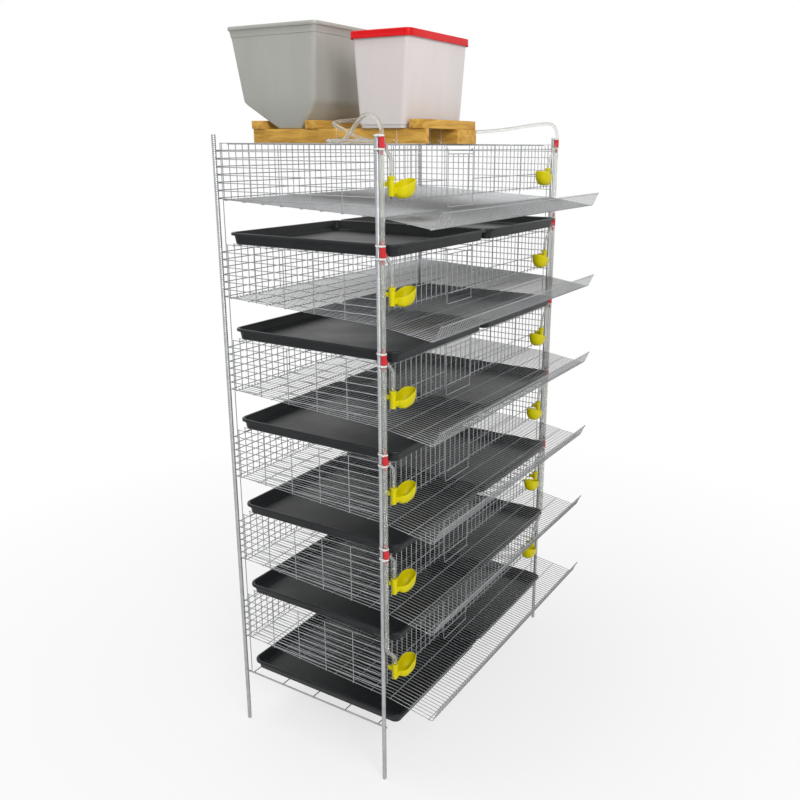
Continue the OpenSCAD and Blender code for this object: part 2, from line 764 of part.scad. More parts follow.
module drinker_cups() {
    color("gold") for (k = [1:tier_count])
        at_cups(k) cup(k > 1 ? tube_d - 2 * tube_wall : bore_d);
}

// Valve pins that rest on the seats inside the cups' valve bodies
module cup_valves() {
    color("dimgray") for (k = [1:tier_count]) at_cups(k) translate([0, 0, -valve_height]) {
        translate([0, 0, valve_seat + seat_clear]) cylinder(d = valve_bore_d - 1, h = 6, $fn = fine);
        translate([0, 0, -5]) cylinder(d = valve_hole_d - 0.8, h = valve_seat + seat_clear + 6, $fn = fine);
    }
}

// Outline round a post and the hose in front of it
module tie_outline(held, grow) {
    waist = min(held, post_d) + 2 * grow;
    circle(d = held + 2 * grow, $fn = fine);
    translate([0, -riser_y]) circle(d = post_d + 2 * grow, $fn = fine);
    translate([-waist / 2, 0]) square([waist, -riser_y]);
}

module cable_tie(held) {
    head_x = -tie_head - held / 2 - tie_clear - tie_thick / 2;
    linear_extrude(tie_width) difference() {
        tie_outline(held, tie_clear + tie_thick);
        tie_outline(held, tie_clear);
    }
    translate([head_x, -tie_head / 2, -tie_brim]) cube([tie_head, tie_head, tie_width + 2 * tie_brim]);
}

// Cable ties that hold hose and post together above and below each Y connector
module cable_ties() {
    color("white") at_risers()
        for (k = [2:tier_count], s = [-1, 1])
            translate([0, 0, hub_level(k) + s * tie_offset - tie_width / 2])
                cable_tie(k == tier_count && s > 0 ? supply_d : hose_d);
}

// Wooden base of two beams and three slats
module base_beams() {
    color("burlywood") placed()
        for (b = [[0, beam_thick], [base_width - right_beam_thick, right_beam_thick]])
            translate([base_x + b[0], 0, base_z]) cube([b[1], base_length, beam_height]);
}

module base_slats() {
    color("tan") placed() for (y = slat_y)
        translate([base_x - slat_overhang, y, bin_z])
            cube([base_width + slat_overhang, slat_width, slat_thick]);
}

// Feed bin with an open top, straight upper walls and a sloping hopper foot
module feed_form(inset) {
    size = -2 * [inset, inset];
    corner = bin_corner - inset;
    top = feed_bin_height - 0.01 + inset / 10;
    hull() {
        translate([0, feed_foot_y, 0]) slice(feed_foot + size, corner, inset);
        translate([0, feed_knee_y, 0]) slice(feed_knee + size, corner, hopper_height);
    }
    hull() {
        translate([0, feed_knee_y, 0]) slice(feed_knee + size, corner, hopper_height);
        translate([0, feed_top_y, 0]) slice(feed_top + size, corner, top);
    }
}

module feed_bin() {
    color("darkgray") placed() translate([bin_x, 0, bin_z + bin_lift]) difference() {
        union() {
            feed_form(0);
            translate([0, feed_top_y, feed_bin_height - 2 * bin_rim]) linear_extrude(2 * bin_rim)
                rounded(feed_top + 2 * [bin_rim, bin_rim], bin_corner + bin_rim);
        }
        feed_form(bin_wall);
    }
}

// Water bin with slightly sloping walls and two holes for the outlets in its back
module water_form(inset) {
    size = -2 * [inset, inset];
    hull() {
        slice(water_foot + size, bin_corner - inset, inset);
        slice(water_top + size, bin_corner - inset, water_bin_height - 0.01 + inset / 10);
    }
}

// Places a shape twice on the outer face of the back wall, with +Z pointing out of the bin
module at_outlets() {
    placed() translate([bin_x, 0, bin_z + bin_lift]) mirrored()
        translate([outlet_spread, outlet_y, outlet_rise]) rotate([-90 - water_lean, 0, 0]) children();
}

module water_bin() {
    color("whitesmoke") difference() {
        placed() translate([bin_x, water_y, bin_z + bin_lift]) difference() {
            union() {
                water_form(0);
                translate([0, 0, water_bin_height - 2 * bin_rim]) linear_extrude(2 * bin_rim)
                    rounded(water_top + [bin_rim, bin_rim], bin_corner + bin_rim / 2);
            }
            water_form(bin_wall);
        }
        at_outlets() translate([0, 0, -10]) cylinder(d = outlet_d + 2 * outlet_clear, h = 20, $fn = fine);
    }
}

// Cap lid with a skirt over the rim of the water bin and a sunk middle
module water_bin_lid() {
    inner = water_top + [bin_rim, bin_rim] + 2 * [lid_clear, lid_clear];
    outer = inner + 2 * [bin_wall, bin_wall];
    dish = inner - 2 * [lid_band, lid_band];
    corner = bin_corner + bin_rim / 2 + lid_clear;
    dish_corner = corner - lid_band;
    lid_z = bin_z + 2 * bin_lift + water_bin_height + bin_wall - lid_height;
    color("firebrick") placed() translate([bin_x, water_y, lid_z]) difference() {
        linear_extrude(lid_height) rounded(outer, corner + bin_wall);
        difference() {
            translate([0, 0, -1]) linear_extrude(lid_height - bin_wall + 1) rounded(inner, corner);
            translate([0, 0, lid_height - lid_dish - bin_wall]) linear_extrude(lid_height)
                rounded(dish + 2 * [bin_wall, bin_wall], dish_corner + bin_wall);
        }
        translate([0, 0, lid_height - lid_dish]) linear_extrude(lid_dish + 1) rounded(dish, dish_corner);
    }
}

// Screwed outlets of the water bin: flange, shank through the wall, nut inside and hose spout
module bin_outlets() {
    back = -bin_wall - outlet_seat;
    color("dimgray") at_outlets() difference() {
        union() {
            translate([0, 0, outlet_seat]) cylinder(d = outlet_face, h = 4, $fn = fine);
            translate([0, 0, back - outlet_nut]) cylinder(d = outlet_face, h = outlet_nut, $fn = 6);
            translate([0, 0, back - outlet_tail])
                cylinder(d = outlet_d, h = outlet_tail - back, $fn = fine);
            cylinder(d = hose_d + 3, h = outlet_spout, $fn = fine);
        }
        translate([0, 0, back - outlet_tail - 1])
            cylinder(d = bore_d, h = outlet_spout + outlet_tail - back - 4, $fn = fine);
    }
}

// Smooth curve through the points of a route
function curve_point(a, b, c, d, t) = 0.5 * (2 * b + (c - a) * t
    + (2 * a - 5 * b + 4 * c - d) * t * t + (3 * b - a - 3 * c + d) * t * t * t);
function curve(r, m) = concat(
    [for (i = [0:len(r) - 2], j = [0:m - 1])
        curve_point(r[max(i - 1, 0)], r[i], r[i + 1], r[min(i + 2, len(r) - 1)], j / m)],
    [r[len(r) - 1]]);
function unit(v) = v / norm(v);
function across(u, t) = unit(u - (u * t) * t);

// Plain hose of the given diameter swept along a route
module hose(route, d, sides, start) {
    p = curve(route, 2);
    n = len(p);
    t = [for (i = [0:n - 1]) unit(p[min(i + 1, n - 1)] - p[max(i - 1, 0)])];
    u = [for (i = 0, v = across(start, t[0]); i < n; i = i + 1, v = across(v, t[min(i, n - 1)])) v];
    points = [for (i = [0:n - 1], j = [0:sides - 1])
        p[i] + d / 2 * (cos(360 * j / sides) * u[i] + sin(360 * j / sides) * cross(t[i], u[i]))];
    skin = [for (i = [0:n - 2], j = [0:sides - 1], f = [0, 1])
        let (a = i * sides + j, b = i * sides + (j + 1) % sides)
        f == 0 ? [a, a + sides, b] : [b, a + sides, b + sides]];
    polyhedron(points, concat(skin, [[for (j = [0:sides - 1]) j]],
        [[for (j = [sides - 1:-1:0]) (n - 1) * sides + j]]), convexity = 10);
}

module supply_hose_left() {
    color("lightgrey", 0.6) placed() hose(left_route, supply_d, 10, [0, 0, 1]);
}

module supply_hose_right() {
    color("lightgrey", 0.6) placed() hose(right_route, supply_d, 10, [0, 0, 1]);
}

for (k = [1:tier_count]) {
    egg_floor(k);
    side_panels(k);
    roof_grid(k);
    front_grille(k);
    door(k);
    tray(k, -1);
    tray(k, 1);
}
posts(0);  // front_posts
posts(cage_depth);  // back_posts
side_uprights();
tray_rack();
riser_hoses();
y_connectors();
drop_tubes();
drinker_cups();
cup_valves();
cable_ties();
base_beams();
base_slats();
feed_bin();
water_bin();
water_bin_lid();
bin_outlets();
supply_hose_left();
supply_hose_right();
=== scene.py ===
"""Six-tier quail cage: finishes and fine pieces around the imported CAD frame."""
import math

import bmesh
import bpy
from mathutils import Matrix, Vector


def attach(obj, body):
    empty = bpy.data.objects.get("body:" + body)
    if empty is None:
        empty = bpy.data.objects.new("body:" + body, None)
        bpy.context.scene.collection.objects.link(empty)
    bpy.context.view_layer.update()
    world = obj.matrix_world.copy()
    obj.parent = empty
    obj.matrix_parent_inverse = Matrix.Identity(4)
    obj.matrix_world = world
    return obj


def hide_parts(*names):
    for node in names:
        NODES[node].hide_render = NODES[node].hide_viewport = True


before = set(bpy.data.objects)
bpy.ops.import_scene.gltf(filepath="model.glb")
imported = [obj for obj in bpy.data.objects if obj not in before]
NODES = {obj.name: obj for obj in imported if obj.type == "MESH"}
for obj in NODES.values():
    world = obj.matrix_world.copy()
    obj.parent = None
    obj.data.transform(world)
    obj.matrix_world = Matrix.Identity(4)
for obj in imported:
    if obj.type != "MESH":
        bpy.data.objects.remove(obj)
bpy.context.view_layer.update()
MM = 0.001

# Sizes repeated from the part's source, in millimetres
CAGE_LENGTH = 1000.0
CAGE_DEPTH = 510.0
POST_D = 12.0
POST_HEIGHT = 1750.0
FRONT_POST_Y = -233.64875
RACK_LEVEL = 168.0
TIER_PITCH = 260.0
TIERS = range(1, 7)
HOSE_D = 12.0
HUB_D = HOSE_D + 1.5
RISER_Y = -POST_D / 2 - HUB_D / 2 - 0.3
SUPPLY_D = 10.0
BASE_X = -289.0
BASE_WIDTH = 264.0
BASE_LENGTH = 566.0
BASE_LIFT = 1.3
BEAM_HEIGHT = 37.0
BIN_LIFT = 0.1
BIN_X = BASE_X + BASE_WIDTH / 2
# Sections of the bins: height, middle, width, depth and corner radius
WATER_FOOT = (0.0, 125.5, 289.0, 138.0, 14.0)
WATER_TOP = (230.0, 125.5, 294.0, 174.0, 14.0)
FEED_FOOT = (0.0, 442.0, 250.0, 92.0, 14.0)
FEED_KNEE = (70.0, 471.5, 270.0, 253.0, 14.0)
FEED_TOP = (267.0, 480.0, 288.0, 304.0, 14.0)


def roof(k):
    """Height of the roof wires of tier k, counted from the floor up."""
    return RACK_LEVEL + k * TIER_PITCH


BASE_Z = roof(6) + BASE_LIFT
BIN_Z = BASE_Z + BEAM_HEIGHT + BIN_LIFT


def at(x, y, z):
    """A point measured from the front post plane, in the part's frame and in metres."""
    return Vector((x * MM, (y + FRONT_POST_Y) * MM, z * MM))


# Camera

def add_camera():
    """The photograph's viewpoint: left of the front, at eye height, looking a little down."""
    cam = bpy.data.cameras.new("photo_camera")
    cam.sensor_width = 36.0
    cam.lens = 846.0 / 800.0 * 36.0
    cam.shift_x = -0.0409
    cam.shift_y = -0.0178
    cam.clip_end = 60.0
    obj = bpy.data.objects.new("photo_camera", cam)
    bpy.context.scene.collection.objects.link(obj)
    turn, drop, roll = math.radians(58.94), math.radians(15.93), math.radians(0.31)
    ahead = Vector((math.sin(turn) * math.cos(drop), math.cos(turn) * math.cos(drop), -math.sin(drop)))
    side = ahead.cross(Vector((0, 0, 1))).normalized()
    up = side.cross(ahead)
    view = Matrix((side, up, -ahead)).transposed() @ Matrix.Rotation(roll, 3, "Z")
    obj.matrix_world = Matrix.Translation(at(-2146, -1143, 1728)) @ view.to_4x4()
    bpy.context.scene.camera = obj


add_camera()

# Materials


def new_group(name, inputs, outputs):
    """An empty shader node group with named sockets."""
    group = bpy.data.node_groups.new(name, "ShaderNodeTree")
    for label, kind, value in inputs:
        socket = group.interface.new_socket(label, in_out="INPUT", socket_type=kind)
        socket.default_value = value
    for label, kind in outputs:
        group.interface.new_socket(label, in_out="OUTPUT", socket_type=kind)
    ins = group.nodes.new("NodeGroupInput")
    outs = group.nodes.new("NodeGroupOutput")
    return group, ins, outs


def node(tree, kind, values=None, **settings):
    """A shader node with its settings and the values of its unlinked inputs."""
    made = tree.nodes.new(kind)
    for key, value in settings.items():
        setattr(made, key, value)
    for key, value in (values or {}).items():
        made.inputs[key].default_value = value
    return made


def tone_group():
    """Soft blotches or streaks between two tones, with matching roughness and fine bumps."""
    group, ins, outs = new_group(
        "soft_tone",
        [("Scale", "NodeSocketFloat", 30.0), ("Contrast", "NodeSocketFloat", 0.5),
         ("Stretch", "NodeSocketVector", (1, 1, 1)),
         ("Tone", "NodeSocketColor", (0.5, 0.5, 0.5, 1)), ("Shade", "NodeSocketColor", (0.4, 0.4, 0.4, 1)),
         ("Smooth", "NodeSocketFloat", 0.3), ("Rough", "NodeSocketFloat", 0.5)],
        [("Color", "NodeSocketColor"), ("Roughness", "NodeSocketFloat"), ("Height", "NodeSocketFloat")])
    link = group.links.new
    coord = node(group, "ShaderNodeTexCoord")
    drawn = node(group, "ShaderNodeVectorMath", operation="MULTIPLY")
    noise = node(group, "ShaderNodeTexNoise", {"Detail": 5.0, "Roughness": 0.6})
    link(coord.outputs["Object"], drawn.inputs[0])
    link(ins.outputs["Stretch"], drawn.inputs[1])
    link(drawn.outputs["Vector"], noise.inputs["Vector"])
    link(ins.outputs["Scale"], noise.inputs["Scale"])
    push = node(group, "ShaderNodeMath", {1: 0.5}, operation="SUBTRACT")
    gain = node(group, "ShaderNodeMath", operation="MULTIPLY")
    back = node(group, "ShaderNodeMath", {1: 0.5}, operation="ADD", use_clamp=True)
    link(noise.outputs["Fac"], push.inputs[0])
    link(push.outputs[0], gain.inputs[0])
    link(ins.outputs["Contrast"], gain.inputs[1])
    link(gain.outputs[0], back.inputs[0])
    mix = node(group, "ShaderNodeMix", data_type="RGBA")
    link(back.outputs[0], mix.inputs["Factor"])
    link(ins.outputs["Shade"], mix.inputs["A"])
    link(ins.outputs["Tone"], mix.inputs["B"])
    rough = node(group, "ShaderNodeMix", data_type="FLOAT")
    link(back.outputs[0], rough.inputs["Factor"])
    link(ins.outputs["Rough"], rough.inputs["A"])
    link(ins.outputs["Smooth"], rough.inputs["B"])
    link(mix.outputs["Result"], outs.inputs["Color"])
    link(rough.outputs["Result"], outs.inputs["Roughness"])
    link(noise.outputs["Fac"], outs.inputs["Height"])
    return group


TONE = tone_group()


def material(name, tone, shade, smooth, rough, scale=30.0, contrast=1.0, bump=0.0, stretch=(1, 1, 1),
             **shader):
    """A Principled material whose colour and roughness follow the soft_tone group."""
    made = bpy.data.materials.new(name)
    made.use_nodes = True
    tree = made.node_tree
    bsdf = tree.nodes["Principled BSDF"]
    for key, value in shader.items():
        bsdf.inputs[key.replace("_", " ")].default_value = value
    blotch = tree.nodes.new("ShaderNodeGroup")
    blotch.node_tree = TONE
    blotch.inputs["Scale"].default_value = scale
    blotch.inputs["Contrast"].default_value = contrast
    blotch.inputs["Stretch"].default_value = stretch
    blotch.inputs["Tone"].default_value = (*tone, 1)
    blotch.inputs["Shade"].default_value = (*shade, 1)
    blotch.inputs["Smooth"].default_value = smooth
    blotch.inputs["Rough"].default_value = rough
    tree.links.new(blotch.outputs["Color"], bsdf.inputs["Base Color"])
    tree.links.new(blotch.outputs["Roughness"], bsdf.inputs["Roughness"])
    if bump:
        relief = node(tree, "ShaderNodeBump", {"Strength": bump, "Distance": 0.001})
        tree.links.new(blotch.outputs["Height"], relief.inputs["Height"])
        tree.links.new(relief.outputs["Normal"], bsdf.inputs["Normal"])
    return made


def wood_material(name, along):
    """Sawn pine with grain that runs along one axis."""
    made = material(name, (0.68, 0.38, 0.06), (0.47, 0.22, 0.025), 0.55, 0.75, scale=14.0, contrast=1.8,
                    Specular_IOR_Level=0.3)
    tree = made.node_tree
    bsdf = tree.nodes["Principled BSDF"]
    coord = node(tree, "ShaderNodeTexCoord")
    stretch = node(tree, "ShaderNodeMapping")
    stretch.inputs["Scale"].default_value = [9.0 if i == along else 95.0 for i in range(3)]
    grain = node(tree, "ShaderNodeTexNoise",
                 {"Scale": 1.0, "Detail": 6.0, "Roughness": 0.65, "Distortion": 0.6})
    tree.links.new(coord.outputs["Object"], stretch.inputs["Vector"])
    tree.links.new(stretch.outputs["Vector"], grain.inputs["Vector"])
    ramp = node(tree, "ShaderNodeValToRGB")
    ramp.color_ramp.elements[0].position = 0.36
    ramp.color_ramp.elements[0].color = (0.34, 0.15, 0.02, 1)
    ramp.color_ramp.elements[1].position = 0.62
    ramp.color_ramp.elements[1].color = (0.80, 0.50, 0.11, 1)
    tree.links.new(grain.outputs["Fac"], ramp.inputs["Fac"])
    blend = node(tree, "ShaderNodeMix", {"Factor": 0.55}, data_type="RGBA")
    group = next(n for n in tree.nodes if n.type == "GROUP")
    tree.links.new(group.outputs["Color"], blend.inputs["A"])
    tree.links.new(ramp.outputs["Color"], blend.inputs["B"])
    tree.links.new(blend.outputs["Result"], bsdf.inputs["Base Color"])
    relief = node(tree, "ShaderNodeBump", {"Strength": 0.35, "Distance": 0.0008})
    tree.links.new(grain.outputs["Fac"], relief.inputs["Height"])
    tree.links.new(relief.outputs["Normal"], bsdf.inputs["Normal"])
    return made


ZINC_WIRE = material("zinc_wire", (0.50, 0.51, 0.52), (0.34, 0.35, 0.36), 0.28, 0.44, 60, 1.4, Metallic=0.9)
ZINC_ROD = material("zinc_rod", (0.62, 0.63, 0.64), (0.40, 0.41, 0.43), 0.24, 0.40, 45, 1.4, Metallic=0.9)
TRAY_BLACK = material("tray_black", (0.017, 0.019, 0.021), (0.008, 0.010, 0.011), 0.28, 0.42, 9, 1.6, 0.05,
                      Specular_IOR_Level=0.3)
CUP_YELLOW = material("cup_yellow", (0.74, 0.66, 0.002), (0.62, 0.54, 0.002), 0.32, 0.44, 40, 1.2,
                      Specular_IOR_Level=0.18)
FITTING_RED = material("fitting_red", (0.70, 0.010, 0.022), (0.52, 0.008, 0.016), 0.26, 0.4, 60, 1.2)
HOSE_CLEAR = material("hose_clear", (0.90, 0.91, 0.88), (0.83, 0.84, 0.81), 0.08, 0.16, 40, 1.2,
                      Transmission_Weight=0.84, IOR=1.14)
TIE_WHITE = material("tie_white", (0.84, 0.83, 0.80), (0.76, 0.75, 0.72), 0.4, 0.5, 80, 1.2)
SEAL_DARK = material("seal_dark", (0.05, 0.05, 0.052), (0.03, 0.03, 0.032), 0.5, 0.65, 60, 1.2)
BIN_GREY = material("bin_grey", (0.45, 0.455, 0.42), (0.37, 0.37, 0.33), 0.28, 0.4, 9, 1.5, 0.03,
                    (1, 1, 0.25))
BIN_WHITE = material("bin_white", (0.72, 0.67, 0.66), (0.62, 0.565, 0.55), 0.24, 0.36, 12, 1.3,
                     stretch=(1, 1, 0.12))
LID_RED = material("lid_red", (0.70, 0.0, 0.003), (0.58, 0.0, 0.003), 0.34, 0.46, 12, 1.4,
                   Specular_IOR_Level=0.2)
PINE_BEAM = wood_material("pine_beam", 1)
PINE_SLAT = wood_material("pine_slat", 0)

# Supply hoses, along the routes of the part's source
OUTLET_SPREAD = 90.0
OUTLET_LEVEL = 26.0
OUTLET_REACH = 22.2
TOP_HUB_LEVEL = 16.0
WATER_LEAN = math.atan((WATER_TOP[3] - WATER_FOOT[3]) / 2 / WATER_TOP[0])
OUTLET_WALL = WATER_FOOT[1] + WATER_FOOT[3] / 2 + OUTLET_LEVEL * math.tan(WATER_LEAN)
TIP_Y = OUTLET_WALL + OUTLET_REACH * math.cos(WATER_LEAN)
TIP_Z = BIN_Z + OUTLET_LEVEL - OUTLET_REACH * math.sin(WATER_LEAN)
LEFT_TIP = (BIN_X - OUTLET_SPREAD, TIP_Y, TIP_Z)
RIGHT_TIP = (BIN_X + OUTLET_SPREAD, TIP_Y, TIP_Z)
TIP_STEPS = [(0, s * math.cos(WATER_LEAN), -s * math.sin(WATER_LEAN)) for s in (0, 7, 14)]
LEFT_TOP = (-CAGE_LENGTH / 2, RISER_Y, roof(6) + TOP_HUB_LEVEL)
RIGHT_TOP = (CAGE_LENGTH / 2, RISER_Y, roof(6) + TOP_HUB_LEVEL)
LIE = BASE_Z + SUPPLY_D / 2


def from_point(origin, *steps):
    """Points given by their steps from one end of a hose."""
    return [tuple(a + b for a, b in zip(origin, step)) for step in steps]


LEFT_ROUTE = (
    from_point(LEFT_TIP, *TIP_STEPS, (-5, 34, -3), (-20, 49, -5), (-40, 54, -7), (-60, 49, -11),
               (-75, 34, -17), (-80, 14, -24), (-80, -6, -32), (-80, -28, -42), (-80, -51, -50),
               (-80, -74, -55))
    + [(x, y, LIE) for x, y in (
        (-327, 120), (-331, 100), (-342, 86), (-358, 78), (-376, 78), (-392, 86), (-403, 100),
        (-407, 124), (-411, 148), (-422, 162), (-438, 170), (-456, 170), (-472, 162), (-483, 148),
        (-487, 131), (-488, 118))]
    + from_point(LEFT_TOP, (12, 116, -7), (11, 103, 2), (10, 86, 19), (8, 68, 36), (6, 55, 45),
                 (5, 40, 48), (3, 20, 43), (1, 5, 28), (0, 0, 13), (0, 0, 6.5), (0, 0, 0.2)))
RIGHT_ROUTE = (
    from_point(RIGHT_TIP, *TIP_STEPS, (5, 34, -3), (20, 49, -5), (40, 54, -7), (75, 52, -11),
               (110, 41, -17), (142, 22, -22), (175, -4, -25), (208, -34, -26))
    + from_point(RIGHT_TOP, (-325, 166, 20), (-290, 136, 21), (-250, 106, 24), (-200, 78, 30),
                 (-150, 55, 37), (-105, 39, 43), (-65, 25, 47), (-38, 14, 48), (-19, 7, 43),
                 (-5, 2, 28), (0, 0, 13), (0, 0, 6.5), (0, 0, 0.2)))


def supply_hose(name, route, replaced):
    """A soft hose along its route, as one smooth curve of its real thickness."""
    points = [at(*p) for p in route]
    line = bpy.data.curves.new(name, "CURVE")
    line.dimensions = "3D"
    line.bevel_depth = SUPPLY_D * MM / 2
    line.bevel_resolution = 5
    line.resolution_u = 8
    line.use_fill_caps = True
    spline = line.splines.new("BEZIER")
    spline.bezier_points.add(len(points) - 1)
    for i, knot in enumerate(spline.bezier_points):
        before, after = points[max(i - 1, 0)], points[min(i + 1, len(points) - 1)]
        pull = (after - before) / 6
        knot.co = points[i]
        knot.handle_left_type = knot.handle_right_type = "FREE"
        knot.handle_left = points[i] - pull
        knot.handle_right = points[i] + pull
    line.materials.append(HOSE_CLEAR)
    hose = bpy.data.objects.new(name, line)
    bpy.context.scene.collection.objects.link(hose)
    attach(hose, "frame")
    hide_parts(replaced)
    return hose


LEFT_HOSE = supply_hose("left_supply_hose", LEFT_ROUTE, "supply_hose_left")
RIGHT_HOSE = supply_hose("right_supply_hose", RIGHT_ROUTE, "supply_hose_right")

# Finishes of the CAD nodes
FINISH = {
    "front_posts": ZINC_ROD, "back_posts": ZINC_ROD, "side_uprights": ZINC_WIRE, "tray_rack": ZINC_WIRE,
    "riser_hoses": HOSE_CLEAR, "y_connectors": FITTING_RED, "drop_tubes": HOSE_CLEAR,
    "drinker_cups": CUP_YELLOW, "cup_valves": SEAL_DARK, "cable_ties": TIE_WHITE,
    "base_beams": PINE_BEAM, "base_slats": PINE_SLAT, "feed_bin": BIN_GREY, "water_bin": BIN_WHITE,
    "water_bin_lid": LID_RED, "bin_outlets": SEAL_DARK,
    "supply_hose_left": HOSE_CLEAR, "supply_hose_right": HOSE_CLEAR,
}
for k in TIERS:
    for part in ("egg_floor", "side_panels", "roof_grid", "front_grille", "door"):
        FINISH[f"{part}_{k}"] = ZINC_WIRE
    for side in ("left", "right"):
        FINISH[f"tray_{side}_{k}"] = TRAY_BLACK


def smooth_by_angle(mesh, angle=40.0):
    """Smooth shading that keeps edges sharper than the angle."""
    for face in mesh.polygons:
        face.use_smooth = True
    mesh.set_sharp_from_angle(angle=math.radians(angle))


def dress_nodes():
    """Gives every CAD node its finish."""
    for name, obj in NODES.items():
        obj.data.materials.clear()
        obj.data.materials.append(FINISH[name])


dress_nodes()

# Mesh building


def ring(cx, cy, z, width, depth, corner, steps=7):
    """Points of a level rounded rectangle, counter-clockwise, in millimetres."""
    points = []
    for qx, qy, start in ((1, 1, 0), (-1, 1, 90), (-1, -1, 180), (1, -1, 270)):
        for i in range(steps + 1):
            a = math.radians(start + 90.0 * i / steps)
            points.append((cx + qx * (width / 2 - corner) + corner * math.cos(a),
                           cy + qy * (depth / 2 - corner) + corner * math.sin(a), z))
    return points


def loft(name, rings, cap_first=True, cap_last=True, closed=False):
    """A mesh through rings of equal length, in millimetres from the front post plane."""
    bm = bmesh.new()
    rows = [[bm.verts.new(at(*p)) for p in r] for r in rings]
    count = len(rows[0])
    pairs = list(zip(rows, rows[1:])) + ([(rows[-1], rows[0])] if closed else [])
    for low, high in pairs:
        for i in range(count):
            j = (i + 1) % count
            bm.faces.new((low[i], low[j], high[j], high[i]))
    if cap_first and not closed:
        bm.faces.new(list(reversed(rows[0])))
    if cap_last and not closed:
        bm.faces.new(rows[-1])
    bmesh.ops.recalc_face_normals(bm, faces=bm.faces)
    mesh = bpy.data.meshes.new(name)
    bm.to_mesh(mesh)
    bm.free()
    return mesh


def piece(name, mesh, finish, body, replaces=(), angle=40.0):
    """Shows a mesh as a piece that rides on a body and may stand for CAD nodes."""
    smooth_by_angle(mesh, angle)
    mesh.materials.append(finish)
    obj = bpy.data.objects.new(name, mesh)
    bpy.context.scene.collection.objects.link(obj)
    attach(obj, body)
    if replaces:
        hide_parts(*replaces)
    return obj


def join(name, meshes):
    """One mesh out of several."""
    bm = bmesh.new()
    for mesh in meshes:
        bm.from_mesh(mesh)
        bpy.data.meshes.remove(mesh)
    joined = bpy.data.meshes.new(name)
    bm.to_mesh(joined)
    bm.free()
    return joined


def board(name, low, high, edge=1.6):
    """A sawn board with eased edges, between two corners in millimetres."""
    bm = bmesh.new()
    size = [b - a for a, b in zip(low, high)]
    centre = at(*[(a + b) / 2 for a, b in zip(low, high)])
    bmesh.ops.create_cube(bm, size=1.0, matrix=Matrix.Translation(centre) @ Matrix.Diagonal(
        (size[0] * MM, size[1] * MM, size[2] * MM, 1)))
    bmesh.ops.bevel(bm, geom=bm.edges[:], offset=edge * MM, segments=2, profile=0.6, affect="EDGES")
    mesh = bpy.data.meshes.new(name)
    bm.to_mesh(mesh)
    bm.free()
    return mesh


# Threaded posts
THREAD_PITCH = 5.0
THREAD_DEPTH = 0.75


def thread_rod(name, x, y):
    """A zinc rod with a rolled rib that winds round it from end to end."""
    around, slices = 12, 5
    step = THREAD_PITCH / slices
    bm = bmesh.new()
    rows = []
    for i in range(int(POST_HEIGHT / step) + 1):
        z = min(i * step, POST_HEIGHT)
        row = []
        for j in range(around):
            a = 2 * math.pi * j / around
            wave = 0.5 + 0.5 * math.cos(2 * math.pi * z / THREAD_PITCH - a)
            r = POST_D / 2 - THREAD_DEPTH * (1 - wave) ** 1.5
            if z < 1.5 or z > POST_HEIGHT - 1.5:
                r = POST_D / 2 - THREAD_DEPTH
            row.append(bm.verts.new(at(x + r * math.cos(a), y + r * math.sin(a), z)))
        rows.append(row)
    for low, high in zip(rows, rows[1:]):
        for j in range(around):
            n = (j + 1) % around
            bm.faces.new((low[j], low[n], high[n], high[j]))
    bm.faces.new(list(reversed(rows[0])))
    bm.faces.new(rows[-1])
    mesh = bpy.data.meshes.new(name)
    bm.to_mesh(mesh)
    bm.free()
    return mesh


for label, post_y in (("front", 0.0), ("back", CAGE_DEPTH)):
    rods = [thread_rod(f"rod_{s}", s * CAGE_LENGTH / 2, post_y) for s in (-1, 1)]
    piece(f"{label}_threaded_posts", join(f"{label}_threaded_posts", rods), ZINC_ROD, "frame",
          [f"{label}_posts"], 60)

# Trays
TRAY_WIDTH = 477.0
TRAY_DEPTH = 540.0
TRAY_CORNER = 30.0
TRAY_FRONT = -35.0
TRAY_MIDDLE_GAP = 6.0
TRAY_LIFT = 1.5
# Inset from the outer edge and height above the tray's foot, from under the rim over to the floor
TRAY_SECTION = (
    (13.6, 0.0), (12.8, 0.6), (12.2, 3.0), (7.6, 26.6), (6.8, 27.4), (2.6, 27.6), (1.7, 26.8), (1.5, 23.0),
    (0.3, 23.0), (0.0, 24.0), (0.0, 27.0), (0.5, 28.6), (1.6, 29.7), (3.2, 30.0), (5.6, 30.0), (7.4, 29.6),
    (8.6, 28.6), (9.3, 27.0), (13.6, 8.0), (14.6, 5.2), (16.6, 3.2), (20.0, 2.2), (26.0, 2.0),
)


def tray_mesh(name, side, k):
    """A vacuum-formed tray with sloping walls, a rounded floor edge and a rolled rim."""
    cx = side * (TRAY_MIDDLE_GAP / 2 + TRAY_WIDTH / 2)
    cy = TRAY_FRONT + TRAY_DEPTH / 2
    foot = roof(k - 1) + TRAY_LIFT
    rings = [ring(cx, cy, foot + z, TRAY_WIDTH - 2 * inset, TRAY_DEPTH - 2 * inset,
                  max(TRAY_CORNER - inset, 6.0), 9) for inset, z in TRAY_SECTION]
    return loft(name, rings)


for k in TIERS:
    for label, side in (("left", -1), ("right", 1)):
        name = f"droppings_tray_{label}_{k}"
        piece(name, tray_mesh(name, side, k), TRAY_BLACK, f"tray_{label}_{k}",
              [f"tray_{label}_{k}"], 50)

# Wooden base
NARROW_BEAM = (BASE_X, BASE_X + 18.0)
WIDE_BEAM = (BASE_X + BASE_WIDTH - 104.0, BASE_X + BASE_WIDTH)
SLAT_Z = BASE_Z + BEAM_HEIGHT
SLAT_THICK = 22.0
SLAT_WIDTH = 42.0
SLAT_OVERHANG = 6.0
SLAT_Y = (3.0, 334.0, 524.0)

